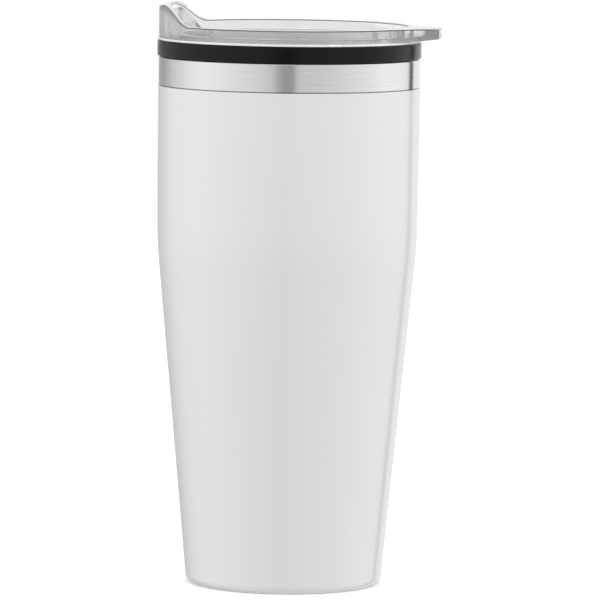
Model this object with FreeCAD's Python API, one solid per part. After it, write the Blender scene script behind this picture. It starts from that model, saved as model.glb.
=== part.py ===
"""Double-walled stainless steel tumbler with a clear push-on lid.

The cup is two thin steel vessels joined at the lip, with a vacuum between them. The outer one
is powder coated up to a bare brushed band. The lid is one clear moulding with a raised drinking
spout, a thumb tab opposite it and a sunk deck. A slider runs on rails on that deck and covers
the drinking slot, and a black rubber seal caps the steel lip and grips inside the mouth.

Millimetres. +Z is up, and the origin is the centre of the foot ring, on the surface that the
cup stands on. The spout is towards -X and the thumb tab towards +X.
"""

import FreeCAD, Part
import math
import os

V = FreeCAD.Vector

# ---- cup: outside form -----------------------------------------------------------------------
shell_r = 43.95          # outside of the straight upper wall
upper_lean = 0.25        # the upper wall is this much smaller at the bend
foot_r = 32.8            # where the tapered wall would meet the table
bend_z = 115.5           # height of the bend from tapered to nearly straight
bend_round = 170.0       # how softly that bend turns
foot_round = 3.0         # rounding from the wall to the foot ring
foot_ring_w = 6.3        # from the wall's line to the inside edge of the foot ring
shoulder_z = 177.6       # step where the wall draws in to the neck
neck_h = 3.5             # from the shoulder to the weld under the lip
neck_step = 1.9          # how far the neck stands in from the wall

# ---- cup: walls and finish -------------------------------------------------------------------
steel_t = 0.5            # sheet thickness of both vessels
vacuum_gap = 3.0         # between the two walls
coat_t = 0.12            # powder coat
band_h = 9.8             # bare steel band under the shoulder
coat_foot_z = 0.2        # the coat stops this far above the table

# ---- cup: floor ------------------------------------------------------------------------------
floor_z = 8.5            # inside floor
floor_round = 7.0        # inside corner round the floor
pan_z = 2.0              # underside of the pressed base pan
dimple_r = 4.0           # sealing dimple in the pan
dimple_h = 1.1
pump_hole_r = 0.8        # the air is drawn out here
cover_t = 0.4            # plain disc that hides the dimple
cover_gap = 0.5          # cover to the wall of the recess
getter_r = 4.0           # getter pellet
getter_h = 2.2
bracket_t = 0.3          # strap that holds the pellet
bracket_w = 5.0
bracket_foot = 4.0

# ---- lid: moulding ---------------------------------------------------------------------------
web_t = 1.5              # rubber between the lip and the lid
seal_gap = 0.1           # rubber to steel, so that the lid lifts freely
rim_h = 5.15             # rim above the rubber
rim_wall = 4.2           # rim thickness
rim_draft = 0.2          # each side of the rim leans in by this much at the spout's top
rim_round = 0.5          # rounding of the rim's two top edges
shelf_t = 1.8            # flange that rests on the rubber
shelf_round = 0.4        # inside corner between flange and rim
bowl_edge = 0.2          # rounding where the flange ends at the bowl
bowl_round = 0.3         # inside corner round the deck
bead_h = 0.7             # small bead round the flange
bead_out = 0.35
deck_drop = 1.6          # deck below the flange's top
deck_t = 1.8
plug_wall = 2.0          # wall that goes down the mouth
plug_gap = 1.25          # plug to the inside of the cup
plug_depth = 9.0         # plug below the lip
plug_ridge = 0.55        # ridge that keeps the rubber on
ridge_h = 1.2
ridge_up = 1.0           # ridge above the plug's bottom edge

# ---- lid: spout ------------------------------------------------------------------------------
spout_rise = 6.65        # crest above the rim
spout_crest_in = 0.95    # the climb ends this far out from the rim's inside
spout_run = 10.2         # length of the climb, along X
spout_fall = 0.9         # the top drops this much from the crest to the lip
core_wall = 1.6          # wall left round the hollow under the spout
core_roof = 2.0          # thickness left over it at the crest
core_foot = 0.5          # its height where it runs out
core_deg = 38.0          # half angle of that hollow

# ---- lid: thumb tab --------------------------------------------------------------------------
tab_out = 6.85           # tip of the tab beyond the rim
tab_half_w = 7.5         # half its width at the tip; its sides run straight off the rim
tab_corner = 2.0
tab_tip_t = 3.75         # thickness at the tip
tab_root_t = 4.65        # thickness at the rim

# ---- lid: drinking slot, rails and slider ----------------------------------------------------
slot_inset = 5.1         # from the bowl's wall to the middle of the drinking slot
slot_w = 6.4
slot_len = 17.0
vent_inset = 4.1         # from the bowl's wall to the vent
vent_r = 1.0
slider_travel = 14.0
slider_w = 22.0
slider_t = 1.3           # plate that runs under the rails
slider_lift = 0.25       # plate clear of the deck
run_gap = 0.3            # slider to the rails and to the bowl
block_len = 28.0         # thumb block
block_w = 17.6
block_h = 0.9
block_round = 2.0
rib_r = 0.3              # finger ribs on the block
rib_pitch = 3.4
rib_count = 6
rail_t = 1.6
rail_lip = 1.1           # overhang that holds the plate down
rail_lip_t = 0.8
rail_inset = 12.7        # from the bowl's wall to the rails' front ends
stop_t = 2.0
pad_t = 1.0              # rubber pad under the slider
pad_gap = 0.05           # pad to the deck
pad_len = 11.0
pad_w = 20.0
pad_corner = 3.0

# ---- rubber seal -----------------------------------------------------------------------------
skirt_out = 0.4          # the skirt stands proud of the steel wall
skirt_gap = 0.2          # skirt to the neck
skirt_lift = 0.15        # skirt to the shoulder
skirt_round = 0.9
leg_t = 0.7              # sleeve on the plug
fin_h = 0.9              # sealing fins
fin_gap = 0.12           # fin tip to the cup
fin_count = 2
fin_pitch = 2.6

# ---- places that follow from the sizes above ---------------------------------------------------
taper = math.atan((shell_r - upper_lean - foot_r) / bend_z)
lean = math.atan(upper_lean / (shoulder_z - bend_z))
foot_ring_in_r = foot_r - foot_ring_w
neck_r = shell_r - neck_step
neck_top_z = shoulder_z + neck_h
lip_z = neck_top_z + steel_t
mouth_r = shell_r - 2 * steel_t - vacuum_gap
coat_top_z = shoulder_z - band_h
flange_z = lip_z + seal_gap + web_t
rim_z = flange_z + rim_h
spout_z = rim_z + spout_rise
shelf_z = flange_z + shelf_t
deck_z = shelf_z - deck_drop
rim_in_r = shell_r - rim_wall
plug_r = mouth_r - plug_gap
bowl_r = plug_r - plug_wall
plug_z = lip_z - plug_depth
skirt_r = shell_r + skirt_out
tab_reach = shell_r + tab_out
slot_x = slot_inset - bowl_r
vent_x = bowl_r - vent_inset
rail_front_x = rail_inset - bowl_r
plate_z = deck_z + slider_lift
plate_top = plate_z + slider_t
block_top = plate_top + block_h
lip_under = plate_top + slider_lift
rail_top = lip_under + rail_lip_t
rail_in_y = slider_w / 2 + run_gap
tongue_r = bowl_r - 2 * run_gap
stop_x = block_len / 2 + slider_travel + run_gap
BIG = 4 * shell_r


def rounded_wire(corners, place):
    """A closed wire through corners (a, b) or (a, b, rounding); place turns (a, b) into a point."""
    edges, ends = [], []
    count = len(corners)
    for i, corner in enumerate(corners):
        here = V(corner[0], corner[1], 0)
        before = V(corners[i - 1][0], corners[i - 1][1], 0)
        after = V(corners[(i + 1) % count][0], corners[(i + 1) % count][1], 0)
        radius = corner[2] if len(corner) > 2 else 0.0
        if not radius:
            ends.append((here, here, None))
            continue
        back = (before - here).normalize()
        on = (after - here).normalize()
        half = back.getAngle(on) / 2
        reach = radius / math.tan(half)
        middle = (back + on).normalize()
        centre = here + middle * (radius / math.sin(half))
        ends.append((here + back * reach, here + on * reach, centre - middle * radius))
    for i, (start, finish, through) in enumerate(ends):
        if through is not None:
            edges.append(Part.Arc(place(start), place(through), place(finish)).toShape())
        following = ends[(i + 1) % count][0]
        if (following - finish).Length > 1e-6:
            edges.append(Part.LineSegment(place(finish), place(following)).toShape())
    return Part.Wire(edges)


def turned(corners, start_deg=0.0, sweep_deg=360.0):
    """A solid of revolution about Z from corners (radius, height, rounding)."""
    face = Part.Face(rounded_wire(corners, lambda p: V(p.x, 0, p.y)))
    face.rotate(V(0, 0, 0), V(0, 0, 1), start_deg)
    return face.revolve(V(0, 0, 0), V(0, 0, 1), sweep_deg)


def prism(corners, z0, z1):
    """Corners (x, y, rounding) extruded from z0 to z1."""
    face = Part.Face(rounded_wire(corners, lambda p: V(p.x, p.y, z0)))
    return face.extrude(V(0, 0, z1 - z0))


def block(x0, x1, y0, y1, z0, z1):
    return Part.makeBox(x1 - x0, y1 - y0, z1 - z0, V(x0, y0, z0))


def drum(r, z0, z1, x=0.0, y=0.0):
    return Part.makeCylinder(r, z1 - z0, V(x, y, z0))


def wall_line(inset):
    """The cup's wall, moved in by inset: (radius at height 0, bend corner) of the offset lines."""
    at_zero = foot_r - inset / math.cos(taper)
    bend = (shell_r - upper_lean - inset, bend_z + inset * math.tan((taper - lean) / 2), bend_round - inset)
    return at_zero, bend


def wall_r(inset, z):
    """Radius of the tapered wall, moved in by inset, at height z."""
    return wall_line(inset)[0] + z * math.tan(taper)


# ---- the cup ---------------------------------------------------------------------------------
def outer_shell():
    outside_foot, outside_bend = wall_line(0.0)
    inside_bend = wall_line(steel_t)[1]
    return turned([
        (foot_ring_in_r, 0.0),
        (outside_foot, 0.0, foot_round),
        outside_bend,
        (shell_r, shoulder_z, 0.6),
        (neck_r, shoulder_z, 0.3),
        (neck_r, neck_top_z),
        (neck_r - steel_t, neck_top_z),
        (neck_r - steel_t, shoulder_z - steel_t, 0.6),
        (shell_r - steel_t, shoulder_z - steel_t, 0.3),
        inside_bend,
        (wall_r(steel_t, steel_t), steel_t, foot_round - steel_t),
        (foot_ring_in_r, steel_t),
    ])


def cup_form(outset, top):
    """The cup's outside form as one solid, grown by outset."""
    return turned([
        (0.0, -outset),
        (wall_r(-outset, -outset), -outset, foot_round + outset),
        wall_line(-outset)[1],
        (shell_r + outset, top),
        (0.0, top),
    ])


def powder_coat():
    skin = cup_form(coat_t, coat_top_z).cut(cup_form(0.0, coat_top_z + 1.0))
    return skin.common(block(-BIG, BIG, -BIG, BIG, coat_foot_z, coat_top_z))


def inner_vessel():
    inset_out = steel_t + vacuum_gap
    inset_in = inset_out + steel_t
    return turned([
        (0.0, floor_z - steel_t),
        (wall_r(inset_out, floor_z - steel_t), floor_z - steel_t, floor_round + steel_t),
        wall_line(inset_out)[1],
        (mouth_r + steel_t, neck_top_z, 0.3),
        (neck_r, neck_top_z),
        (neck_r, lip_z, 0.45),
        (mouth_r, lip_z, 0.8),
        wall_line(inset_in)[1],
        (wall_r(inset_in, floor_z), floor_z, floor_round),
        (0.0, floor_z),
    ])


def base_pan():
    top = pan_z + steel_t
    return turned([
        (foot_ring_in_r - steel_t, 0.3),
        (foot_ring_in_r, 0.3),
        (foot_ring_in_r, top, 0.9),
        (dimple_r + steel_t, top, 0.3),
        (dimple_r + steel_t, top + dimple_h, 0.6),
        (pump_hole_r, top + dimple_h),
        (pump_hole_r, pan_z + dimple_h),
        (dimple_r, pan_z + dimple_h, 0.3),
        (dimple_r, pan_z, 0.3),
        (foot_ring_in_r - steel_t, pan_z, 0.8 * cover_gap),
    ])


def vacuum_seal():
    top = pan_z + dimple_h
    return turned([
        (0.0, top - 0.8),
        (dimple_r - 1.0, top - 0.6, 0.4),
        (dimple_r - 0.7, top),
        (pump_hole_r, top),
        (pump_hole_r, top + steel_t),
        (0.0, top + steel_t + 0.3),
    ])


def base_cover():
    return turned([
        (0.0, pan_z - cover_t),
        (foot_ring_in_r - steel_t - cover_gap, pan_z - cover_t, 0.15),
        (foot_ring_in_r - steel_t - cover_gap, pan_z),
        (dimple_r + 1.5, pan_z),
        (dimple_r + 1.5, pan_z - cover_t / 2),
        (0.0, pan_z - cover_t / 2),
    ])


def getter():
    under = floor_z - steel_t
    return turned([(0.0, under - getter_h), (getter_r, under - getter_h, 0.4), (getter_r, under), (0.0, under)])


def getter_bracket():
    under = floor_z - steel_t
    seat = under - getter_h
    reach = getter_r + bracket_t + 0.2
    outline = [
        (-reach - bracket_foot, under),
        (-reach - bracket_foot, under - bracket_t),
        (-reach, under - bracket_t),
        (-reach, seat - bracket_t, 0.5),
        (reach, seat - bracket_t, 0.5),
        (reach, under - bracket_t),
        (reach + bracket_foot, under - bracket_t),
        (reach + bracket_foot, under),
        (reach - bracket_t, under),
        (reach - bracket_t, seat),
        (-reach + bracket_t, seat),
        (-reach + bracket_t, under),
    ]
    face = Part.Face(rounded_wire(outline, lambda p: V(p.x, -bracket_w / 2, p.y)))
    return face.extrude(V(0, bracket_w, 0))


# ---- the lid ---------------------------------------------------------------------------------
def above_the_spout(low, high):
    """Everything above one S that climbs from height low to high. It runs straight along Y."""
    crest, far = rim_in_r + spout_crest_in, shell_r + 2.0
    foot = crest - spout_run

    def height(x):
        if x > crest:
            share = 1.0 - spout_fall / spout_rise * ((x - crest) / (shell_r - crest)) ** 2
        else:
            share = 0.5 - 0.5 * math.cos(math.pi * (x - foot) / spout_run)
        return low + (high - low) * share

    steps = 24
    stations = [far + (foot - far) * i / steps for i in range(steps + 1)]
    climb = Part.BSplineCurve()
    climb.interpolate(Points=[V(-x, -BIG, height(x)) for x in stations], Parameters=stations[::-1])
    over = spout_z + rim_wall
    corners = [V(-foot, -BIG, low), V(far, -BIG, low), V(far, -BIG, over), V(-far, -BIG, over),
               V(-far, -BIG, height(far))]
    sides = [Part.LineSegment(a, b).toShape() for a, b in zip(corners, corners[1:])]
    face = Part.Face(Part.Wire([climb.toShape()] + sides))
    return face.extrude(V(0, 2 * BIG, 0))


def rim_and_plug():
    """Rim, flange, bowl, deck and plug in one turned outline, to just above the spout's height."""
    return turned([
        (0.0, deck_z - deck_t),
        (bowl_r, deck_z - deck_t, 0.8),
        (bowl_r, plug_z, 0.5),
        (plug_r, plug_z, 0.4),
        (plug_r, plug_z + ridge_up),
        (plug_r + plug_ridge, plug_z + ridge_up + plug_ridge),
        (plug_r, plug_z + ridge_up + ridge_h),
        (plug_r, flange_z),
        (shell_r + bead_out, flange_z, 0.2),
        (shell_r + bead_out, flange_z + bead_h, 0.2),
        (shell_r, flange_z + bead_h),
        (shell_r - rim_draft, spout_z + 1.0),
        (rim_in_r + rim_draft, spout_z + 1.0),
        (rim_in_r, shelf_z, shelf_round),
        (bowl_r, shelf_z, bowl_edge),
        (bowl_r, deck_z, bowl_round),
        (0.0, deck_z),
    ])


def spout_core():
    """The hollow under the spout, open downwards where the rubber covers it."""
    inner, outer, top = rim_in_r + core_wall / 2, shell_r - core_wall, spout_z - core_roof
    ring = turned([(inner, flange_z), (outer, flange_z), (outer, top, 0.3), (inner, top, 0.3)],
                  180.0 - core_deg, 2 * core_deg)
    return ring.cut(above_the_spout(flange_z + core_foot, top))


def tab_plan():
    """The tab seen from above: straight sides that touch the rim's circle, and a blunt tip."""
    corner_x, corner_y = tab_reach - tab_corner, tab_half_w - tab_corner
    away = math.hypot(corner_x, corner_y)
    touch = math.atan2(corner_y, corner_x) + math.acos((shell_r - tab_corner) / away)
    half = touch / 2
    edges = []
    for s in (1, -1):
        rim = V(shell_r * math.cos(touch), s * shell_r * math.sin(touch), flange_z)
        corner = V(corner_x, s * corner_y, flange_z)
        side = corner + V(math.cos(touch), s * math.sin(touch), 0) * tab_corner
        bulge = corner + V(math.cos(half), s * math.sin(half), 0) * tab_corner
        tip = corner + V(tab_corner, 0, 0)
        edges.append(Part.LineSegment(V(0, 0, flange_z), rim).toShape())
        edges.append(Part.LineSegment(rim, side).toShape())
        edges.append(Part.Arc(side, bulge, tip).toShape())
    edges.append(Part.LineSegment(V(tab_reach, corner_y, flange_z), V(tab_reach, -corner_y, flange_z)).toShape())
    return Part.Face(Part.Wire(Part.sortEdges(edges)[0]))


def thumb_tab():
    plan = tab_plan().extrude(V(0, 0, rim_h))
    side = [
        (0.0, rim_z),
        (0.0, rim_z - tab_root_t),
        (shell_r, rim_z - tab_root_t),
        (tab_reach + 1.0, rim_z - tab_tip_t),
        (tab_reach + 1.0, rim_z),
    ]
    face = Part.Face(rounded_wire(side, lambda p: V(p.x, -BIG, p.y)))
    tab = plan.common(face.extrude(V(0, 2 * BIG, 0)))
    return tab.cut(drum(rim_in_r + rim_wall / 2, flange_z - 1.0, rim_z + 1.0))


def rails():
    """Two rails with lips over the slider's plate, and the stop that joins their ends."""
    made = []
    back_x = stop_x + stop_t
    foot_z = deck_z - deck_t / 2
    for s in (1, -1):
        side = sorted((s * rail_in_y, s * (rail_in_y + rail_t)))
        lip = sorted((s * (rail_in_y - rail_lip), s * (rail_in_y + rail_t)))
        made.append(block(rail_front_x, back_x, side[0], side[1], foot_z, rail_top))
        made.append(block(rail_front_x, back_x, lip[0], lip[1], lip_under, rail_top))
    made.append(block(stop_x, back_x, -rail_in_y - rail_t, rail_in_y + rail_t, foot_z, rail_top))
    return made


def drinking_slot():
    half = slot_len / 2 - slot_w / 2
    z0, z1 = deck_z - deck_t - 1.0, deck_z + 0.5
    x0, x1 = slot_x - slot_w / 2, slot_x + slot_w / 2
    slot = block(x0, x1, -half, half, z0, z1)
    return slot.fuse([drum(slot_w / 2, z0, z1, slot_x, half), drum(slot_w / 2, z0, z1, slot_x, -half)])


def top_edges(lid):
    """The two long edges round the rim's top, outside and inside, with the spout's curves."""
    return [e for e in lid.Edges
            if e.BoundBox.ZMin > rim_z - 0.1 and e.Length > 4 * rim_wall and not isinstance(e.Curve, Part.Line)]


def lid_body():
    lid = rim_and_plug().cut(above_the_spout(rim_z, spout_z)).removeSplitter()
    lid = lid.makeFillet(rim_round, top_edges(lid))
    lid = lid.fuse([thumb_tab()] + rails())
    vent = drum(vent_r, deck_z - deck_t - 1.0, deck_z + 1.0, vent_x)
    return lid.cut([spout_core(), drinking_slot(), vent]).removeSplitter()


def lid_seal():
    web_z = flange_z - web_t
    skirt_z = shoulder_z + skirt_lift
    leg_z = plug_z + ridge_up + ridge_h + seal_gap
    leg_r = plug_r + leg_t
    fin_r = mouth_r - fin_gap
    corners = [
        (plug_r, flange_z),
        (plug_r, leg_z),
        (leg_r, leg_z),
    ]
    for i in range(fin_count):
        z = leg_z + 0.8 + i * fin_pitch
        corners += [(leg_r, z), (fin_r, z + fin_h), (leg_r, z + fin_h + 0.25)]
    corners += [
        (leg_r, web_z, 0.4),
        (neck_r + skirt_gap, web_z, 0.3),
        (neck_r + skirt_gap, skirt_z, 0.3),
        (skirt_r, skirt_z, 0.35),
        (skirt_r, flange_z, skirt_round),
    ]
    return turned(corners)


# ---- the slider ------------------------------------------------------------------------------
def pad_outline(grow):
    half_l, half_w = pad_len / 2 + grow, pad_w / 2 + grow
    return [(slot_x + dx * half_l, dy * half_w, pad_corner)
            for dx, dy in ((-1, -1), (1, -1), (1, 1), (-1, 1))]


def pad_limit(gap):
    """The pad and its seat stay inside the slider's round end."""
    return drum(tongue_r - gap, deck_z - 1.0, plate_top + 1.0)


def slider():
    back = block_len / 2
    plate = block(-BIG, back, -slider_w / 2, slider_w / 2, plate_z, plate_top)
    plate = plate.common(drum(tongue_r, plate_z - 1.0, plate_top + 1.0))
    thumb = prism([(dx * back, dy * block_w / 2, block_round) for dx, dy in ((-1, -1), (1, -1), (1, 1), (-1, 1))],
                  plate_top - 0.5, block_top)
    ribs = []
    for i in range(rib_count):
        x = (i - (rib_count - 1) / 2) * rib_pitch
        rib = Part.makeCylinder(rib_r, block_w - 2 * block_round, V(x, -block_w / 2 + block_round, block_top),
                                V(0, 1, 0))
        ribs.append(rib)
    seat = prism(pad_outline(0.0), plate_z - 1.0, deck_z + pad_gap + pad_t).common(pad_limit(1.0))
    return plate.fuse([thumb] + ribs).cut(seat).removeSplitter()


def slider_pad():
    pad = prism(pad_outline(0.0), deck_z + pad_gap, deck_z + pad_gap + pad_t)
    return pad.common(pad_limit(1.0))


NODES = {
    "outer_shell": outer_shell,
    "powder_coat": powder_coat,
    "inner_vessel": inner_vessel,
    "base_pan": base_pan,
    "vacuum_seal": vacuum_seal,
    "base_cover": base_cover,
    "getter_pellet": getter,
    "getter_bracket": getter_bracket,
    "lid_body": lid_body,
    "lid_seal": lid_seal,
    "slider": slider,
    "slider_pad": slider_pad,
}


def main():
    os.makedirs("parts", exist_ok=True)
    for name, make in NODES.items():
        shape = make()
        box = shape.BoundBox
        print(f"{name}: valid {shape.isValid()}, solids {len(shape.Solids)}, volume {shape.Volume:.1f} mm3, "
              f"z {box.ZMin:.2f} to {box.ZMax:.2f}")
        shape.exportStep(f"parts/{name}.step")


main()
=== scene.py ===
# %% [markdown]
# # A steel tumbler with a clear lid
# The real object is a vacuum cup: two thin steel vessels, a white powder coat on the outer one,
# and a clear plastic lid on a black rubber seal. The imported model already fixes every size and
# says which piece moves with which. This file gives those pieces their finished shapes and
# finishes. It starts by loading that model, because every new piece is placed by it.

# %% Load the frame
import math

import bpy
from mathutils import Matrix, Vector


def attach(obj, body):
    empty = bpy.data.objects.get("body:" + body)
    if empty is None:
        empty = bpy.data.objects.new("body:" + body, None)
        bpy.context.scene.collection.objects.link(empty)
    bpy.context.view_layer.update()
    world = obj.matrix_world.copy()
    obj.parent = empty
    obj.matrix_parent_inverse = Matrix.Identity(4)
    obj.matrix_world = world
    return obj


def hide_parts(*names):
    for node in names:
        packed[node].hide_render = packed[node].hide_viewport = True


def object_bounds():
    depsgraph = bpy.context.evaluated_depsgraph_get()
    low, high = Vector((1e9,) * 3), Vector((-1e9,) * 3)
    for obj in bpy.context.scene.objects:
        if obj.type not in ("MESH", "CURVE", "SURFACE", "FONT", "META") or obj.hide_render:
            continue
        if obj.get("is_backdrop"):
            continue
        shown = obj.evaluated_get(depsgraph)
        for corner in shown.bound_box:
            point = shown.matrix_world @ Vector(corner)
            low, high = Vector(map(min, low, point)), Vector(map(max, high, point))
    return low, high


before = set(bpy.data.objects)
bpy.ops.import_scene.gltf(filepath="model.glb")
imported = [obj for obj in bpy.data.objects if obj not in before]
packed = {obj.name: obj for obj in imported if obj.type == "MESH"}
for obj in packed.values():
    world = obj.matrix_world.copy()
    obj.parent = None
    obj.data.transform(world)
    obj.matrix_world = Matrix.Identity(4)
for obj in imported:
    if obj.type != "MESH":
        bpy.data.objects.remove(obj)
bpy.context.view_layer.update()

# %% [markdown]
# ## Sizes
# A turned piece is drawn as half of its section, so the sizes that matter are radii and heights.
# They could be typed in as one long table per piece, but then a wall and the seal on it would
# drift apart. Here each size is named once, in millimetres, and the heights are chained from them.

# %% Name the sizes
MM = 0.001
wall_r, upper_lean, foot_r = 43.95, 0.25, 32.8
bend_z, bend_round, foot_round = 115.5, 170.0, 3.0
foot_ring_r = 26.5
shoulder_z, neck_r, neck_top_z = 177.6, 42.05, 181.1
sheet, gap, coat = 0.5, 3.0, 0.12
band_z, coat_foot_z = 167.8, 0.2
floor_z, floor_round, pan_z = 8.5, 7.0, 2.0
lip_z = neck_top_z + sheet
mouth_r = wall_r - 2 * sheet - gap
flange_z = lip_z + 1.6
rim_z = flange_z + 5.15
spout_z = rim_z + 6.65
shelf_z = flange_z + 1.8
deck_z, deck_t = shelf_z - 1.6, 1.8
rim_in_r = wall_r - 4.2
plug_r = mouth_r - 1.25
bowl_r = plug_r - 2.0
plug_z = lip_z - 9.0
tab_tip_x = wall_r + 6.85

# %% [markdown]
# ## How a turned piece is made
# Everything round here is spun, pressed or moulded about one axis. Stacking scaled rings would
# work, but the roundings would have to be guessed ring by ring. Drawing the half section once and
# spinning it about the axis is what a lathe does, and the rounding of each corner is then exact.
# The first helper turns corners with roundings into points. The second starts from a small plane
# merged to one vertex, extrudes it from point to point, and spins the line.

# %% Draw a rounded outline
def rounded(corners, per_arc=6):
    """Points along a closed outline of corners (a, b, rounding), with every rounding as an arc."""
    points = []
    for i, corner in enumerate(corners):
        here = Vector(corner[:2])
        radius = corner[2] if len(corner) > 2 else 0.0
        if not radius:
            points.append(here)
            continue
        back = (Vector(corners[i - 1][:2]) - here).normalized()
        on = (Vector(corners[(i + 1) % len(corners)][:2]) - here).normalized()
        half = back.angle(on) / 2
        middle = here + (back + on).normalized() * radius / math.sin(half)
        first = here + back * radius / math.tan(half) - middle
        last = here + on * radius / math.tan(half) - middle
        turn = first.angle_signed(last)
        for k in range(per_arc + 1):
            a = -turn * k / per_arc
            points.append(middle + Vector((first.x * math.cos(a) - first.y * math.sin(a),
                                           first.x * math.sin(a) + first.y * math.cos(a))))
    return points


# %% Start, select and finish a piece
def in_edit_mode(mode):
    bpy.ops.object.mode_set(mode="EDIT")
    bpy.ops.mesh.select_mode(type=mode)


def pick(obj, test, kind="VERT"):
    """Selects the vertices or faces whose place passes the test, and leaves edit mode open."""
    bpy.ops.object.mode_set(mode="EDIT")
    bpy.ops.mesh.select_mode(type=kind)
    bpy.ops.mesh.select_all(action="DESELECT")
    bpy.ops.object.mode_set(mode="OBJECT")
    for part in obj.data.vertices if kind == "VERT" else obj.data.polygons:
        part.select = test(part)
    bpy.ops.object.mode_set(mode="EDIT")


def start_line(name, first, flat):
    """One vertex, from a small plane merged to its centre, ready to be extruded into a line."""
    bpy.ops.object.select_all(action="DESELECT")
    place = (first.x * MM, 0, first.y * MM) if flat == "section" else (first.x * MM, first.y * MM, 0)
    bpy.ops.mesh.primitive_plane_add(size=MM, location=place)
    obj = bpy.context.object
    obj.name = obj.data.name = name
    bpy.ops.object.transform_apply(location=True, rotation=True, scale=True)
    in_edit_mode("VERT")
    bpy.ops.mesh.select_all(action="SELECT")
    bpy.ops.mesh.merge(type="CENTER")
    return obj


def draw_line(points, flat):
    """Extrudes the vertex from point to point, then joins the last to the first."""
    for a, b in zip(points, points[1:]):
        step = (b - a) * MM
        value = (step.x, 0, step.y) if flat == "section" else (step.x, step.y, 0)
        bpy.ops.mesh.extrude_region_move(TRANSFORM_OT_translate={"value": value})


def close_line(obj, points, flat):
    """Joins the line's two ends with an edge."""
    ends = [Vector((p.x * MM, 0, p.y * MM)) if flat == "section" else Vector((p.x * MM, p.y * MM, 0))
            for p in (points[0], points[-1])]
    pick(obj, lambda v: min((v.co - e).length for e in ends) < 1e-7)
    bpy.ops.mesh.edge_face_add()


def finish(obj, angle=30.0):
    """Merges doubles, points the faces outwards and smooths all but the sharp edges."""
    in_edit_mode("VERT")
    bpy.ops.mesh.select_all(action="SELECT")
    bpy.ops.mesh.remove_doubles(threshold=1e-7)
    bpy.ops.mesh.normals_make_consistent(inside=False)
    bpy.ops.object.mode_set(mode="OBJECT")
    bpy.ops.object.shade_smooth_by_angle(angle=math.radians(angle))
    return obj


# %% Spin a section
def turned(name, corners, spins=((360.0, 192),), start=0.0, per_arc=6, angle=30.0):
    """A turned solid. Each spin is (degrees, steps), one after the other from the start angle."""
    points = rounded(corners, per_arc)
    obj = start_line(name, points[0], "section")
    draw_line(points, "section")
    if points[0].x > 1e-6 or points[-1].x > 1e-6:
        close_line(obj, points, "section")
    bpy.ops.mesh.select_all(action="SELECT")
    for degrees, steps in spins:
        bpy.ops.mesh.spin(steps=steps, angle=-math.radians(degrees), center=(0, 0, 0), axis=(0, 0, 1))
    if sum(degrees for degrees, steps in spins) < 360.0:
        bpy.ops.mesh.select_all(action="SELECT")
        bpy.ops.mesh.fill_holes(sides=0)
    bpy.ops.object.mode_set(mode="OBJECT")
    obj.rotation_euler.z = math.radians(start)
    bpy.ops.object.transform_apply(location=False, rotation=True, scale=False)
    finish(obj, angle)
    print(f"{name}: {len(obj.data.polygons)} faces")
    return obj


# %% [markdown]
# ## How a flat piece is made
# The slider, its pad and the cutters are plates with a drawn outline. A scaled cube would do for
# a rectangle, but these have round ends and corners. The same line drawing works seen from above:
# the outline is filled and extruded upwards, and its edges are bevelled as a mould would round them.

# %% Extrude a plate
def box_corners(x, half_x, half_y, rounding):
    """The four corners of a rectangle centred on (x, 0), all with the same rounding."""
    return [(x + sx * half_x, sy * half_y, rounding) for sx, sy in ((-1, -1), (1, -1), (1, 1), (-1, 1))]


def plate(name, corners, low, high, bevel=0.0, per_arc=8, bevel_low=True):
    """Corners (x, y, rounding) extruded from height low to high, with bevelled rims."""
    points = rounded(corners, per_arc)
    obj = start_line(name, points[0], "plan")
    draw_line(points, "plan")
    close_line(obj, points, "plan")
    bpy.ops.mesh.select_all(action="SELECT")
    bpy.ops.mesh.edge_face_add()
    bpy.ops.transform.translate(value=(0, 0, low * MM))
    bpy.ops.mesh.extrude_region_move(TRANSFORM_OT_translate={"value": (0, 0, (high - low) * MM)})
    finish(obj)
    if bevel:
        middle = (low + high) / 2 * MM
        pick(obj, lambda f: abs(f.normal.z) > 0.9 and (bevel_low or f.center.z > middle), "FACE")
        bpy.ops.mesh.region_to_loop()
        bpy.ops.mesh.bevel(offset=bevel * MM, segments=3, affect="EDGES", clamp_overlap=True)
        finish(obj)
    return obj


# %% [markdown]
# ## How pieces are joined and cut
# One moulding often has a slot through it or rails standing on it. The walls could be knitted
# together face by face, but a boolean with a second solid does the same and keeps both shapes
# exact. The exact solver is used, because clear plastic shows every leftover inner face.

# %% Add to or cut from a solid
def boolean(obj, other, how):
    """Unites obj with other, cuts other from it or keeps what they share, and deletes other."""
    bpy.ops.object.mode_set(mode="OBJECT")
    bpy.ops.object.select_all(action="DESELECT")
    obj.select_set(True)
    bpy.context.view_layer.objects.active = obj
    step = obj.modifiers.new(how, "BOOLEAN")
    step.operation, step.object, step.solver = how, other, "EXACT"
    bpy.ops.object.modifier_apply(modifier=step.name)
    bpy.data.objects.remove(other)
    return obj


# %% [markdown]
# ## The steel cup
# The outer vessel is a drawn tube: a long taper from the foot, one soft bend, then almost straight
# up to a small shoulder, where it steps in to the neck that the seal covers. The wall is half a
# millimetre, so inside and outside are both drawn. A Solidify modifier could make the wall, but
# it would thin the tight corners of the foot and shoulder, where pressed steel stays even.

# %% Work out the wall's lines
taper = math.atan((wall_r - upper_lean - foot_r) / bend_z)
lean = math.atan(upper_lean / (shoulder_z - bend_z))


def wall_at(inset, z):
    """Radius of the tapered wall, moved in by inset, at a height."""
    return foot_r - inset / math.cos(taper) + z * math.tan(taper)


def bend_at(inset):
    """The corner between taper and upper wall, moved in by inset."""
    return (wall_r - upper_lean - inset, bend_z + inset * math.tan((taper - lean) / 2), bend_round - inset)


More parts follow.
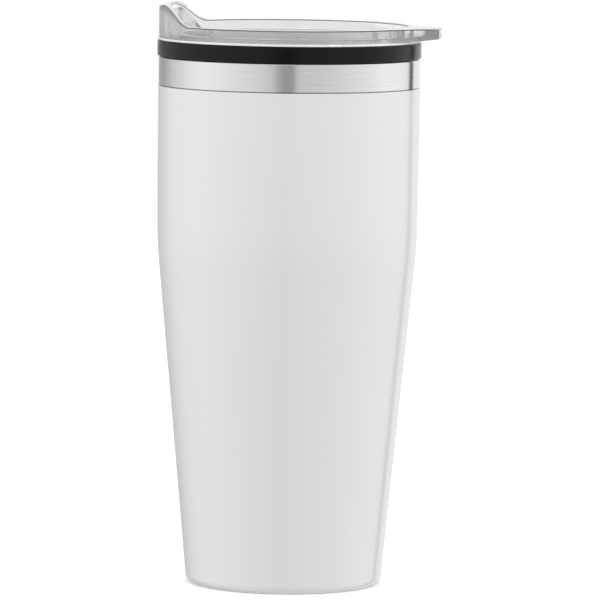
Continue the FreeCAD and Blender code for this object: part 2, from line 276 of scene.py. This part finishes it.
# %% Spin the outer vessel
outer = turned("outer_vessel", [
    (foot_ring_r, 0.0),
    (foot_r, 0.0, foot_round),
    bend_at(0.0),
    (wall_r, shoulder_z, 0.6),
    (neck_r, shoulder_z, 0.3),
    (neck_r, neck_top_z),
    (neck_r - sheet, neck_top_z),
    (neck_r - sheet, shoulder_z - sheet, 0.6),
    (wall_r - sheet, shoulder_z - sheet, 0.3),
    bend_at(sheet),
    (wall_at(sheet, sheet), sheet, foot_round - sheet),
    (foot_ring_r, sheet),
], spins=((360.0, 256),), per_arc=14)

# %% [markdown]
# The powder coat is a skin a tenth of a millimetre thick. It could be only a colour on the steel,
# with the bare band masked off, but on the real cup its top edge is a visible step with a
# thin shadow line, so it is a skin of its own that starts on the foot's rounding.

# %% Spin the powder coat
foot_mid = (wall_at(0, 0) - foot_round / math.tan((math.pi / 2 + taper) / 2), foot_round)
foot_a = -math.acos((foot_round - coat_foot_z) / foot_round)
skin_out, skin_in = [], []
for k in range(13):
    a = -math.pi / 2 - foot_a + (math.pi / 2 + foot_a - taper) * k / 12
    for line, r in ((skin_out, foot_round + coat), (skin_in, foot_round)):
        line.append((foot_mid[0] + r * math.cos(a), foot_mid[1] + r * math.sin(a)))
top_in = wall_r - math.tan(lean) * (shoulder_z - band_z)
coat_skin = turned("powder_coat_skin", [
    *skin_out,
    bend_at(-coat),
    (top_in + coat, band_z, 0.05),
    (top_in, band_z),
    bend_at(0.0),
    *reversed(skin_in),
], spins=((360.0, 256),), per_arc=14)

# %% [markdown]
# The inner vessel holds the drink. Its wall follows the outer one with the vacuum gap between, and
# at the top it flares out over the neck and is welded there, which makes the lip.

# %% Spin the inner vessel
far, near = sheet + gap, 2 * sheet + gap
inner = turned("inner_vessel_wall", [
    (0.0, floor_z - sheet),
    (wall_at(far, floor_z - sheet), floor_z - sheet, floor_round + sheet),
    bend_at(far),
    (mouth_r + sheet, neck_top_z, 0.3),
    (neck_r, neck_top_z),
    (neck_r, lip_z, 0.45),
    (mouth_r, lip_z, 0.8),
    bend_at(near),
    (wall_at(near, floor_z), floor_z, floor_round),
    (0.0, floor_z),
], spins=((360.0, 192),), per_arc=12)

# %% [markdown]
# Underneath, a pressed pan closes the vacuum space, and a plain disc hides its sealing dimple. All
# three are turned too. The pan gets the roundings of a pressing, the disc only a broken edge.

# %% Spin the base pieces
pan_top = pan_z + sheet
dimple_r, dimple_h, pump_hole_r = 4.0, 1.1, 0.8
cover_t, cover_gap = 0.4, 0.5
cover_r = foot_ring_r - sheet - cover_gap
pan = turned("base_pan_pressing", [
    (foot_ring_r - sheet, 0.3),
    (foot_ring_r, 0.3),
    (foot_ring_r, pan_top, 0.9),
    (dimple_r + sheet, pan_top, 0.3),
    (dimple_r + sheet, pan_top + dimple_h, 0.6),
    (pump_hole_r, pan_top + dimple_h),
    (pump_hole_r, pan_z + dimple_h),
    (dimple_r, pan_z + dimple_h, 0.3),
    (dimple_r, pan_z, 0.3),
    (foot_ring_r - sheet, pan_z, 0.4),
], spins=((360.0, 160),))
cover = turned("base_cover_disc", [
    (0.0, pan_z - cover_t),
    (cover_r, pan_z - cover_t, 0.15),
    (cover_r, pan_z),
    (dimple_r + 1.5, pan_z),
    (dimple_r + 1.5, pan_z - cover_t / 2),
    (0.0, pan_z - cover_t / 2),
], spins=((360.0, 160),), per_arc=3)
seal_bead = turned("vacuum_seal_bead", [
    (0.0, pan_z + 0.3),
    (3.0, pan_z + 0.5, 0.4),
    (3.3, pan_z + dimple_h),
    (pump_hole_r, pan_z + dimple_h),
    (pump_hole_r, pan_top + dimple_h),
    (0.0, pan_top + 1.4),
], spins=((360.0, 48),))

# %% [markdown]
# ## The black seal
# One ring of silicone rubber caps the steel lip: a skirt outside, a web over the lip, and a sleeve
# with two thin fins that wipe the inside of the mouth. Its section is turned in one go. The top
# outer edge is well rounded, and the skirt stands a little proud of the steel. Rubber and clear
# plastic only touch here and there, so a hair of air is left between them: without it the plastic
# would look black all the way in.

# %% Spin the seal
leg_z, leg_r = plug_z + 2.3, plug_r + 0.7
air = 0.04
fins = []
for k in range(2):
    z = leg_z + 0.8 + 2.6 * k
    fins += [(leg_r, z), (mouth_r - 0.12, z + 0.9, 0.08), (leg_r, z + 1.15)]
seal = turned("lid_seal_ring", [
    (plug_r + air, flange_z - air),
    (plug_r + air, leg_z),
    (leg_r, leg_z, 0.2),
    *fins,
    (leg_r, flange_z - 1.5, 0.4),
    (neck_r + 0.2, flange_z - 1.5, 0.3),
    (neck_r + 0.2, shoulder_z + 0.15, 0.3),
    (wall_r + 0.4, shoulder_z + 0.15, 0.4),
    (wall_r + 0.4, flange_z - air, 0.7),
], spins=((360.0, 256),), per_arc=5)

# %% [markdown]
# ## The clear lid
# The lid is one moulding: flange, rim, spout, tab, a sunk deck, and the plug. Its plain section
# is spun first, with all its roundings and with closer steps where the tab will be. The spout
# and the tab are then pulled out of that ring, column by column. A boolean would
# leave a seam where they meet the rim, and pulling keeps the rim's rounding running on over both.

# %% Spin the lid's plain section
tab_half, tab_corner = 7.5, 2.0
rim_round = 0.5
lid = turned("clear_lid", [
    (0.0, deck_z - deck_t),
    (bowl_r, deck_z - deck_t, 0.8),
    (bowl_r, plug_z, 0.5),
    (plug_r, plug_z, 0.4),
    (plug_r, plug_z + 1.0),
    (plug_r + 0.55, plug_z + 1.55, 0.1),
    (plug_r, plug_z + 2.2),
    (plug_r, flange_z),
    (wall_r + 0.35, flange_z, 0.2),
    (wall_r + 0.35, flange_z + 0.7, 0.2),
    (wall_r, flange_z + 0.7),
    (wall_r, flange_z + 0.75),
    (wall_r, rim_z, rim_round),
    (rim_in_r, rim_z, rim_round),
    (rim_in_r, shelf_z, 0.4),
    (bowl_r, shelf_z, 0.2),
    (bowl_r, deck_z, 0.3),
    (0.0, deck_z),
], spins=((10.0, 30), (340.0, 300), (10.0, 30)), start=0.0)

# %% [markdown]
# The spout is the rim's top drawn up into one S when the lid is seen from the side, with a crest
# that falls a little to the lip. It could be cut from a taller rim, but a cut has to be rounded
# again afterwards. Here each vertex of the rim's top gets a weight for its place along X, and a
# Displace modifier raises it by that share, so the rim's rounding simply runs on over the spout.

# %% Lift the spout
crest_x, spout_run, spout_fall = rim_in_r + 0.95, 10.2, 0.9
spout_rise = spout_z - rim_z


def spout_share(co):
    """Share of the full rise at a vertex: 0 on the plain rim, 1 on the crest."""
    x = -co.x / MM
    if x > crest_x:
        return 1.0 - spout_fall / spout_rise * ((x - crest_x) / (wall_r - crest_x)) ** 2
    return 0.5 - 0.5 * math.cos(math.pi * max(0.0, 1.0 + (x - crest_x) / spout_run))


def lift(obj, rise, test):
    """Raises the vertices that pass the test, each by its share of the rise."""
    group = obj.vertex_groups.new(name="spout")
    for v in obj.data.vertices:
        if test(v.co):
            group.add([v.index], spout_share(v.co), "REPLACE")
    step = obj.modifiers.new("spout", "DISPLACE")
    step.direction, step.mid_level, step.strength, step.vertex_group = "Z", 0.0, rise * MM, group.name
    bpy.ops.object.select_all(action="DESELECT")
    obj.select_set(True)
    bpy.context.view_layer.objects.active = obj
    bpy.ops.object.modifier_apply(modifier=step.name)
    obj.vertex_groups.remove(obj.vertex_groups["spout"])


def rim_top(co):
    """True for the vertices of the rim's top and its two roundings."""
    return co.z > (rim_z - rim_round - 0.01) * MM and co.xy.length > (rim_in_r - 0.1) * MM


lift(lid, spout_rise, rim_top)
print("spout: top at", round(1000 * max(v.co.z for v in lid.data.vertices), 2), "mm")

# %% [markdown]
# The tab's sides leave the rim in straight lines that just touch its circle, and meet a blunt tip.
# For each column the distance to that outline is known, so the outer wall is pulled out to it. The
# lower edge rises and the upper edge sinks a little on the way, which thins the tab to its tip.

# %% Pull out the tab
corner_x, corner_y = tab_tip_x - tab_corner, tab_half - tab_corner
touch = math.atan2(corner_y, corner_x) + math.acos((wall_r - tab_corner) / math.hypot(corner_x, corner_y))


def tab_r(degrees):
    """Distance from the axis to the tab's outline in this direction."""
    a = math.radians(abs(degrees))
    side = Vector((corner_x, corner_y)) + Vector((math.cos(touch), math.sin(touch))) * tab_corner
    if a >= touch:
        return wall_r
    if a >= math.atan2(side.y, side.x):
        return wall_r / math.cos(touch - a)
    if a <= math.atan2(corner_y, tab_tip_x):
        return tab_tip_x / math.cos(a)
    along = corner_x * math.cos(a) + corner_y * math.sin(a)
    across = corner_x * math.sin(a) - corner_y * math.cos(a)
    return along + math.sqrt(tab_corner**2 - across**2)


def columns(obj, test):
    """The picked vertices, in groups that stand at one angle round the axis."""
    groups = {}
    for v in obj.data.vertices:
        if test(v.co):
            groups.setdefault(round(math.degrees(math.atan2(v.co.y, v.co.x)), 2), []).append(v.index)
    return groups


def move_column(obj, indices, step):
    """Moves these vertices by a step in metres."""
    chosen = set(indices)
    pick(obj, lambda v: v.index in chosen)
    bpy.ops.transform.translate(value=step)


def outer_wall(co):
    """True for the vertices of the rim's outside on the tab's half of the lid."""
    return co.z > (flange_z + 0.72) * MM and co.xy.length > (wall_r - rim_round - 0.01) * MM and co.x > 0


tab_low_rise, tab_high_drop = 0.65, 0.35
pulled = 0
for degrees, indices in columns(lid, outer_wall).items():
    out = tab_r(degrees) - wall_r
    if out > 1e-4:
        a, share = math.radians(degrees), out / (tab_tip_x - wall_r)
        move_column(lid, indices, (out * math.cos(a) * MM, out * math.sin(a) * MM, 0))
        low = [i for i in indices if lid.data.vertices[i].co.z < (flange_z + 2.0) * MM]
        high = [i for i in indices if i not in low]
        move_column(lid, low, (0, 0, tab_low_rise * share * MM))
        move_column(lid, high, (0, 0, -tab_high_drop * share * MM))
        pulled += 1
finish(lid)
print("tab: pulled", pulled, "columns, tip at", round(1000 * max(v.co.x for v in lid.data.vertices), 2), "mm")

# %% [markdown]
# The drinking slot, the vent and the hollow under the spout are cut, and the rails are added. The
# hollow keeps the spout's wall even, as a moulding needs, and opens downwards onto the seal.

# %% Cut the slot, the vent and the hollow
slot_x, slot_w, slot_len = 5.1 - bowl_r, 6.4, 17.0
vent_x, vent_r = bowl_r - 4.1, 1.0
for name, x, half_x, half_y in (("slot_cut", slot_x, slot_w / 2, slot_len / 2),
                                ("vent_cut", vent_x, vent_r, vent_r)):
    cut = plate(name, box_corners(x, half_x, half_y, 0.999 * half_x), deck_z - deck_t - 1, deck_z + 1)
    boolean(lid, cut, "DIFFERENCE")
core_in, core_out, core_half = rim_in_r + 0.8, wall_r - 1.6, 38.0
core_low, core_high = flange_z + 0.5, spout_z - 2.0
core = turned("spout_core", [(core_in, flange_z - 0.5), (core_out, flange_z - 0.5),
                             (core_out, core_low, 0.2), (core_in, core_low, 0.2)],
              spins=((2 * core_half, 80),), start=180.0 - core_half)
lift(core, core_high - core_low, lambda co: co.z > (core_low - 0.21) * MM)
finish(core)
boolean(lid, core, "DIFFERENCE")

# %% Add the rails and the stop
slide_gap, plate_t = 0.25, 1.3
rail_y, rail_t, lip_over, lip_t = 11.3, 1.6, 1.1, 0.8
rail_z = deck_z + slide_gap + plate_t + slide_gap
stop_x, stop_t = 28.3, 2.0
rail_x0, rail_x1 = 12.7 - bowl_r, stop_x + stop_t
for side in (1, -1):
    near_y, far_y = side * rail_y, side * (rail_y + rail_t)
    wall = plate("rail", [(rail_x0, near_y), (rail_x1, near_y), (rail_x1, far_y), (rail_x0, far_y)],
                 deck_z - 0.5, rail_z + lip_t, 0.2, bevel_low=False)
    near_y, far_y = side * (rail_y - lip_over), side * (rail_y + 0.5)
    lip_x0, lip_x1 = rail_x0 + 0.02, rail_x1 - 0.02
    lip = plate("rail_lip", [(lip_x0, near_y), (lip_x1, near_y), (lip_x1, far_y), (lip_x0, far_y)],
                rail_z, rail_z + lip_t - 0.01, 0.2)
    boolean(wall, lip, "UNION")
    boolean(lid, wall, "UNION")
end_x, half_y = rail_x1 - 0.03, rail_y + 0.8
stop = plate("rail_stop", [(stop_x, -half_y), (end_x, -half_y), (end_x, half_y), (stop_x, half_y)],
             deck_z - 0.5, rail_z + lip_t - 0.02, 0.2, bevel_low=False)
boolean(lid, stop, "UNION")
finish(lid)
print("clear_lid:", len(lid.data.polygons), "faces")

# %% [markdown]
# ## The slider and its pad
# The slider is a thin plate whose front end is round, so that it clears the bowl, with a raised
# thumb block and finger ribs across it. Each rib is a rod, half sunk in the block and united
# with it, which gives the soft round tops that a mould cut with a ball cutter leaves.

# %% Make the slider
plate_z = deck_z + slide_gap
plate_top = plate_z + plate_t
block_top = plate_top + 0.9
block_x, block_y = 13.98, 8.8
rib_count, rib_pitch, rib_r, rib_len = 6, 3.4, 0.3, 13.6
tongue_r, slide_x, slide_half = bowl_r - 0.6, 14.0, 11.0
nose = []
nose_a = math.asin(slide_half / tongue_r)
for k in range(17):
    a = math.pi - nose_a + 2 * nose_a * k / 16
    nose.append((tongue_r * math.cos(a), tongue_r * math.sin(a)))
slider = plate("thumb_slider", [*nose, (slide_x, -slide_half, 0.8), (slide_x, slide_half, 0.8)],
               plate_z, plate_top, 0.2)
thumb = plate("thumb_block", box_corners(0, block_x, block_y, 2.0), plate_top - 0.5, block_top, 0.3,
              bevel_low=False)
for k in range(rib_count):
    rib_x = (k - (rib_count - 1) / 2) * rib_pitch
    bpy.ops.object.select_all(action="DESELECT")
    bpy.ops.mesh.primitive_cylinder_add(vertices=24, radius=rib_r * MM, depth=rib_len * MM,
                                        location=(rib_x * MM, 0, (block_top - 0.02) * MM),
                                        rotation=(math.pi / 2, 0, 0))
    rib = bpy.context.object
    bpy.ops.object.transform_apply(location=True, rotation=True, scale=True)
    pick(rib, lambda f: abs(f.normal.y) > 0.9, "FACE")
    bpy.ops.mesh.region_to_loop()
    bpy.ops.mesh.bevel(offset=0.15 * MM, segments=3, affect="EDGES")
    finish(rib)
    boolean(thumb, rib, "UNION")
boolean(slider, thumb, "UNION")


def pad_plate(name, low, high, bevel=0.0):
    """The pad's outline, cut to the slider's round end."""
    made = plate(name, box_corners(slot_x, 5.5, 10.0, 3.0), low, high, bevel)
    limit_r = tongue_r - 1
    limit = turned("pad_limit", [(0, low - 1), (limit_r, low - 1), (limit_r, high + 1), (0, high + 1)])
    return boolean(made, limit, "INTERSECT")


boolean(slider, pad_plate("pad_seat", plate_z - 1, deck_z + 1.05), "DIFFERENCE")
finish(slider)
pad = pad_plate("slider_seal_pad", deck_z + 0.05, deck_z + 1.04, 0.2)
finish(pad)
print("slider:", len(slider.data.polygons), "faces, pad:", len(pad.data.polygons))

# %% [markdown]
# ## Which piece stands for which
# Each new piece rides on the body of the node it stands for. The getter and its strap are sealed
# inside the vacuum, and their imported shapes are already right, so they only get their finishes.

# %% Put the pieces on their bodies
for piece, body, node, slot in (
    (outer, "cup", "outer_shell", "steel"),
    (coat_skin, "cup", "powder_coat", "coat"),
    (inner, "cup", "inner_vessel", "steel"),
    (pan, "cup", "base_pan", "steel"),
    (cover, "cup", "base_cover", "steel"),
    (seal_bead, "cup", "vacuum_seal", "solder"),
    (lid, "lid", "lid_body", "clear_plastic"),
    (seal, "lid", "lid_seal", "black_rubber"),
    (slider, "closure", "slider", "clear_plastic"),
    (pad, "closure", "slider_pad", "soft_clear_rubber"),
):
    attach(piece, body)
    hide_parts(node)

# %% [markdown]
# ## Finishes
# Every finish is built from nodes on object coordinates, which are metres here, so a noise of
# scale 1000 has grains of about a millimetre.

# %% Finish helpers
def new_finish(name, **values):
    """A new material with its shader's sockets set."""
    mat = bpy.data.materials.new(name)
    mat.use_nodes = True
    for socket, value in values.items():
        mat.node_tree.nodes["Principled BSDF"].inputs[socket.replace("_", " ")].default_value = value
    return mat


def feed(mat, source, socket):
    """Links a source to one of the shader's sockets."""
    mat.node_tree.links.new(source, mat.node_tree.nodes["Principled BSDF"].inputs[socket])


def grain(mat, stretch, detail=3.0, roughness=0.5):
    """Noise on object coordinates, with its scale along x, y and z in grains per metre."""
    nodes, links = mat.node_tree.nodes, mat.node_tree.links
    where = nodes.new("ShaderNodeTexCoord")
    mapping = nodes.new("ShaderNodeMapping")
    mapping.inputs["Scale"].default_value = stretch
    noise = nodes.new("ShaderNodeTexNoise")
    noise.inputs["Scale"].default_value = 1.0
    noise.inputs["Detail"].default_value = detail
    noise.inputs["Roughness"].default_value = roughness
    links.new(where.outputs["Object"], mapping.inputs["Vector"])
    links.new(mapping.outputs["Vector"], noise.inputs["Vector"])
    return noise.outputs["Fac"]


def spread(mat, source, low, high):
    """A value that runs from low to high as the source runs over the noise's usual span."""
    ramp = mat.node_tree.nodes.new("ShaderNodeMapRange")
    ramp.inputs["From Min"].default_value, ramp.inputs["From Max"].default_value = 0.3, 0.7
    ramp.inputs["To Min"].default_value, ramp.inputs["To Max"].default_value = low, high
    mat.node_tree.links.new(source, ramp.inputs["Value"])
    return ramp.outputs["Result"]


def tint(mat, source, low, high):
    """A colour between two, mixed by the source."""
    mix = mat.node_tree.nodes.new("ShaderNodeMix")
    mix.data_type = "RGBA"
    mix.inputs["A"].default_value, mix.inputs["B"].default_value = (*low, 1), (*high, 1)
    mat.node_tree.links.new(spread(mat, source, 0.0, 1.0), mix.inputs["Factor"])
    return mix.outputs["Result"]


def grey(level):
    """A grey as red, green and blue."""
    return (level, level, level)


def bump(mat, source, strength, depth):
    """Raises the surface by the source, depth in metres."""
    node = mat.node_tree.nodes.new("ShaderNodeBump")
    node.inputs["Strength"].default_value = strength
    node.inputs["Distance"].default_value = depth
    mat.node_tree.links.new(source, node.inputs["Height"])
    feed(mat, node.outputs["Normal"], "Normal")


# %% White powder coat
white_coat = new_finish("white_powder_coat", IOR=1.5, Coat_Weight=0.8, Coat_Roughness=0.14)
fine = grain(white_coat, (1700, 1700, 1700), 2.0)
feed(white_coat, tint(white_coat, grain(white_coat, (9, 9, 9)), grey(0.68), grey(0.695)), "Base Color")
feed(white_coat, spread(white_coat, fine, 0.27, 0.34), "Roughness")
bump(white_coat, fine, 0.12, 0.00005)

# %% [markdown]
# Brushed steel has fine scratches that run round the cup, so its reflection is sharp across and
# smeared up and down: anisotropy turned by a quarter does that. Where the coat was masked off, the
# steel's colour is darkened to a thin line just above that edge: painted shade for the coat's step.

# %% Brushed steel
def brushed(name, stretch, low, high, rough, anisotropic):
    """Steel whose scratches are closest together along the axis with the most grains."""
    mat = new_finish(name, Metallic=1.0, Anisotropic=anisotropic, Anisotropic_Rotation=0.25)
    streak = grain(mat, stretch, 4.0, 0.6)
    feed(mat, tint(mat, streak, low, high), "Base Color")
    feed(mat, spread(mat, streak, *rough), "Roughness")
    bump(mat, streak, 0.15, 0.00002)
    return mat


def paint_shade_below(mat, low_z, high_z, share):
    """Paints shade: takes the colour down to a share of itself below low_z, fading out at high_z, in metres.
    """
    nodes, links = mat.node_tree.nodes, mat.node_tree.links
    colour = nodes["Principled BSDF"].inputs["Base Color"].links[0].from_socket
    where = nodes.new("ShaderNodeTexCoord")
    split = nodes.new("ShaderNodeSeparateXYZ")
    edge = nodes.new("ShaderNodeMapRange")
    edge.inputs["From Min"].default_value, edge.inputs["From Max"].default_value = low_z, high_z
    edge.inputs["To Min"].default_value = share
    scale = nodes.new("ShaderNodeVectorMath")
    scale.operation = "SCALE"
    links.new(where.outputs["Object"], split.inputs["Vector"])
    links.new(split.outputs["Z"], edge.inputs["Value"])
    links.new(colour, scale.inputs["Vector"])
    links.new(edge.outputs["Result"], scale.inputs["Scale"])
    feed(mat, scale.outputs["Vector"], "Base Color")


band_steel = brushed("brushed_steel_band", (45, 45, 9000), grey(0.70), (0.80, 0.80, 0.805), (0.14, 0.2), 0.8)
# Painted shade: the steel is darkened in a thin line just above the coat's edge.
paint_shade_below(band_steel, (band_z + 0.22) * MM, (band_z + 0.5) * MM, 0.25)
inner_steel = brushed("satin_steel_inside", (60, 60, 5000), (0.74, 0.74, 0.745), grey(0.8), (0.26, 0.36), 0.4)
base_steel = brushed("satin_steel_base", (900, 900, 900), grey(0.62), grey(0.7), (0.28, 0.38), 0.0)

# %% Black seal rubber
seal_rubber = new_finish("black_seal_rubber", Specular_IOR_Level=0.22)
cloud = grain(seal_rubber, (500, 500, 500), 2.0)
feed(seal_rubber, tint(seal_rubber, cloud, grey(0.0015), grey(0.0025)), "Base Color")
feed(seal_rubber, spread(seal_rubber, cloud, 0.16, 0.22), "Roughness")
bump(seal_rubber, grain(seal_rubber, (4000, 4000, 4000), 1.0), 0.1, 0.00002)

# %% [markdown]
# Clear plastic looks grey where it is thick. A tint on the surface would darken a thin skin as
# much as a thick wall, so the grey is in the volume: light is absorbed along its way through.
# Moulded plastic is never quite clear, so part of its surface scatters light. The flange's edge is
# matt, and so it catches the light as a bright bead above the seal. The rim's two top edges get a
# darker tint, painted shade for the light they bend away, which draws them as thin dark lines.

# %% Clear plastic
def clear(name, density, rough, haze=0.2, passed=0.97):
    """Clear plastic. haze is the share of the surface that scatters, passed the light let in."""
    mat = new_finish(name, Base_Color=(*grey(passed), 1), IOR=1.49, Transmission_Weight=1.0 - haze)
    flow = grain(mat, (120, 120, 120), 1.0)
    feed(mat, spread(mat, flow, *rough), "Roughness")
    bump(mat, flow, 0.05, 0.0001)
    inside = mat.node_tree.nodes.new("ShaderNodeVolumeAbsorption")
    inside.inputs["Color"].default_value = (0.5, 0.51, 0.51, 1)
    inside.inputs["Density"].default_value = density
    mat.node_tree.links.new(inside.outputs["Volume"], mat.node_tree.nodes["Material Output"].inputs["Volume"])
    return mat


lid_density = 30.0
lid_clear = clear("clear_lid_plastic", lid_density, (0.0, 0.02))
lid_matt = clear("matt_lid_bead", lid_density, (0.2, 0.3), haze=0.75)
# Painted shade: these two finishes are tinted darker to draw the rim's top edges as dark lines.
lid_painted_shade = clear("clear_lid_painted_shade", lid_density, (0.0, 0.02), passed=0.22)
lid_inner_painted_shade = clear("clear_lid_inner_painted_shade", lid_density, (0.0, 0.02), passed=0.6)
slider_clear = clear("clear_slider_plastic", lid_density, (0.02, 0.06))
pad_frosted = clear("frosted_pad_rubber", 90.0, (0.35, 0.5))

# %% Seal bead, getter and strap
solder = new_finish("dull_seal_bead", Metallic=1.0)
feed(solder, tint(solder, grain(solder, (2500, 2500, 2500)), (0.35, 0.35, 0.36), grey(0.5)), "Base Color")
feed(solder, spread(solder, grain(solder, (4000, 4000, 4000)), 0.4, 0.6), "Roughness")
powder = new_finish("pressed_getter_powder")
feed(powder, tint(powder, grain(powder, (6000, 6000, 6000)), grey(0.05), grey(0.12)), "Base Color")
feed(powder, spread(powder, grain(powder, (6000, 6000, 6000)), 0.7, 0.9), "Roughness")

# %% Give each piece its finish
def give(obj, mat):
    obj.data.materials.clear()
    obj.data.materials.append(mat)


for obj, mat in ((outer, band_steel), (coat_skin, white_coat), (inner, inner_steel), (pan, base_steel),
                 (cover, base_steel), (seal_bead, solder), (lid, lid_clear), (seal, seal_rubber),
                 (slider, slider_clear), (pad, pad_frosted)):
    give(obj, mat)

# %% Mark the lid's bead and its painted-shade edges
matt_slot, painted_shade_slot, inner_painted_shade_slot = 1, 2, 3
for mat in (lid_matt, lid_painted_shade, lid_inner_painted_shade):
    lid.data.materials.append(mat)
for face in lid.data.polygons:
    out, up = face.center.xy.length / MM, face.center.z / MM
    if out > wall_r + 0.05 and up < flange_z + 0.78:
        face.material_index = matt_slot
    elif up > rim_z - rim_round - 0.1 and 0.25 < face.normal.z < 0.97:
        if out > wall_r - rim_round - 0.02:
            face.material_index = painted_shade_slot
        elif rim_in_r - 0.05 < out < rim_in_r + rim_round + 0.02:
            face.material_index = inner_painted_shade_slot
counts = [sum(face.material_index == k for face in lid.data.polygons) for k in range(4)]
print("lid faces: clear, matt bead, outer edge, inner edge:", counts)

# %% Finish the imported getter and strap
for node, mat in (("getter_pellet", powder), ("getter_bracket", base_steel)):
    packed[node].material_slots[0].material = mat

# %% [markdown]
# ## Floor, light and camera
# A pale floor under an even studio sky. The sky is dim behind the camera and bright at the sides,
# which is what shapes the steel band, with one dark strip on the right for its edge line. The
# camera itself sees plain white behind the cup. Soft boxes light the plain surfaces only.

# %% Floor
bpy.ops.object.select_all(action="DESELECT")
bpy.ops.mesh.primitive_circle_add(vertices=128, radius=1.6, fill_type="NGON", location=(0, 0, 0))
floor = bpy.context.object
floor.name = "floor"
floor_paint = new_finish("pale_floor", Roughness=0.9)
feed(floor_paint, tint(floor_paint, grain(floor_paint, (3, 3, 3)), grey(0.9), grey(0.92)), "Base Color")
give(floor, floor_paint)
floor.visible_diffuse = floor.visible_glossy = False
floor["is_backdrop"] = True

# %% Studio sky
scene = bpy.context.scene
world = bpy.data.worlds.new("studio")
scene.world = world
world.use_nodes = True
nodes, links = world.node_tree.nodes, world.node_tree.links
back = nodes["Background"]
where = nodes.new("ShaderNodeTexCoord")
split = nodes.new("ShaderNodeSeparateXYZ")
links.new(where.outputs["Generated"], split.inputs["Vector"])
turn = nodes.new("ShaderNodeMath")
turn.operation = "ARCTAN2"
links.new(split.outputs["X"], turn.inputs[0])
links.new(split.outputs["Y"], turn.inputs[1])
round_ = nodes.new("ShaderNodeMapRange")
round_.inputs["From Min"].default_value, round_.inputs["From Max"].default_value = -math.pi, math.pi
links.new(turn.outputs["Value"], round_.inputs["Value"])
ramp = nodes.new("ShaderNodeValToRGB")
links.new(round_.outputs["Result"], ramp.inputs["Fac"])
camera_turn = 5.5
# (degrees to the right of the camera, seen from the cup; brightness)
SKY = ((-180, 1.0), (-171, 1.0), (-166, 0.5), (-145, 0.42), (-125, 0.72), (-109, 0.88), (-97, 1.0),
       (-80, 1.08), (-60, 1.0), (-40, 0.9), (-23, 0.8), (-14, 0.68), (-8, 0.45), (4, 0.38), (7, 0.72),
       (25, 0.75), (41, 0.8), (58, 0.9), (78, 1.0), (90, 1.1), (113, 1.1), (130, 1.0), (134, 0.1),
       (140, 0.1), (143, 1.0), (158, 0.95), (163, 0.9), (180, 1.0))
spots = []
for degrees, light in SKY:
    # the direction with compass angle 0 at +Y and 90 at +X; the camera stands at 180 - camera_turn
    heading = (180.0 - camera_turn - degrees) % 360.0
    spots.append(((heading + 180.0) % 360.0 / 360.0, light))
spots.sort()
stops = ramp.color_ramp.elements
stops[0].position, stops[1].position = spots[0][0], spots[-1][0]
for (place, light), stop in zip((spots[0], spots[-1]), (stops[0], stops[1])):
    stop.color = (light / 4, light / 4, light / 4, 1)
for place, light in spots[1:-1]:
    stops.new(place).color = (light / 4, light / 4, light / 4, 1)
level = nodes.new("ShaderNodeMapRange")
level.inputs["From Min"].default_value, level.inputs["From Max"].default_value = 0.45, 0.75
links.new(split.outputs["Z"], level.inputs["Value"])
mix = nodes.new("ShaderNodeMix")
mix.data_type = "RGBA"
mix.inputs["B"].default_value = (0.24, 0.24, 0.24, 1)
links.new(level.outputs["Result"], mix.inputs["Factor"])
links.new(ramp.outputs["Color"], mix.inputs["A"])
links.new(mix.outputs["Result"], back.inputs["Color"])
back.inputs["Strength"].default_value = 4.0
seen = nodes.new("ShaderNodeBackground")
seen.inputs["Strength"].default_value = 1.05
ray = nodes.new("ShaderNodeLightPath")
choose = nodes.new("ShaderNodeMixShader")
links.new(ray.outputs["Is Camera Ray"], choose.inputs["Fac"])
links.new(back.outputs["Background"], choose.inputs[1])
links.new(seen.outputs["Background"], choose.inputs[2])
links.new(choose.outputs["Shader"], nodes["World Output"].inputs["Surface"])
seen.inputs["Color"].default_value = (1, 1, 1, 1)
scene.view_settings.view_transform = "Standard"

# %% Soft boxes
def softbox(name, place, size, watts):
    """An area light that lights plain surfaces, and is not mirrored in steel or seen through plastic."""
    bpy.ops.object.light_add(type="AREA", location=place)
    lamp = bpy.context.object
    lamp.name = lamp.data.name = name
    lamp.data.shape, lamp.data.size, lamp.data.size_y = "RECTANGLE", *size
    lamp.data.energy = watts
    lamp.rotation_euler = (Vector((0, 0, 0.1)) - Vector(place)).to_track_quat("-Z", "Y").to_euler()
    lamp.visible_glossy = lamp.visible_transmission = lamp.visible_camera = False


softbox("overhead", (0, 0, 2.5), (5.0, 5.0), 78.0)
softbox("front", (0.15, -1.5, 0.5), (1.2, 1.2), 3.8)
softbox("left", (-1.5, -0.2, 0.5), (0.8, 1.2), 3.0)
softbox("right", (1.5, -0.2, 0.5), (0.8, 1.2), 3.0)

# %% Camera
right = Vector((math.cos(math.radians(camera_turn)), math.sin(math.radians(camera_turn)), 0))
ahead = Vector((-right.y, right.x, 0))
place = Vector((0, 0, 0.2803)) - ahead * 1.9176
aim = Vector((0, 0, 0.0956)) + right * 0.0046
bpy.ops.object.camera_add(location=place)
camera = bpy.context.object
camera.rotation_mode = "QUATERNION"
look = (aim - place).to_track_quat("-Z", "Y").to_matrix()
roll = 0.0125
camera.rotation_quaternion = (look.to_4x4() @ Matrix.Rotation(roll, 4, "Z")).to_quaternion()
camera.data.sensor_width = 36.0
camera.data.lens = 342.8
camera.data.clip_end = 50.0
scene.camera = camera

# %% Print the visual box
low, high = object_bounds()
print("visual box, mm:", [round(1000 * x, 2) for x in (*low, *high)])
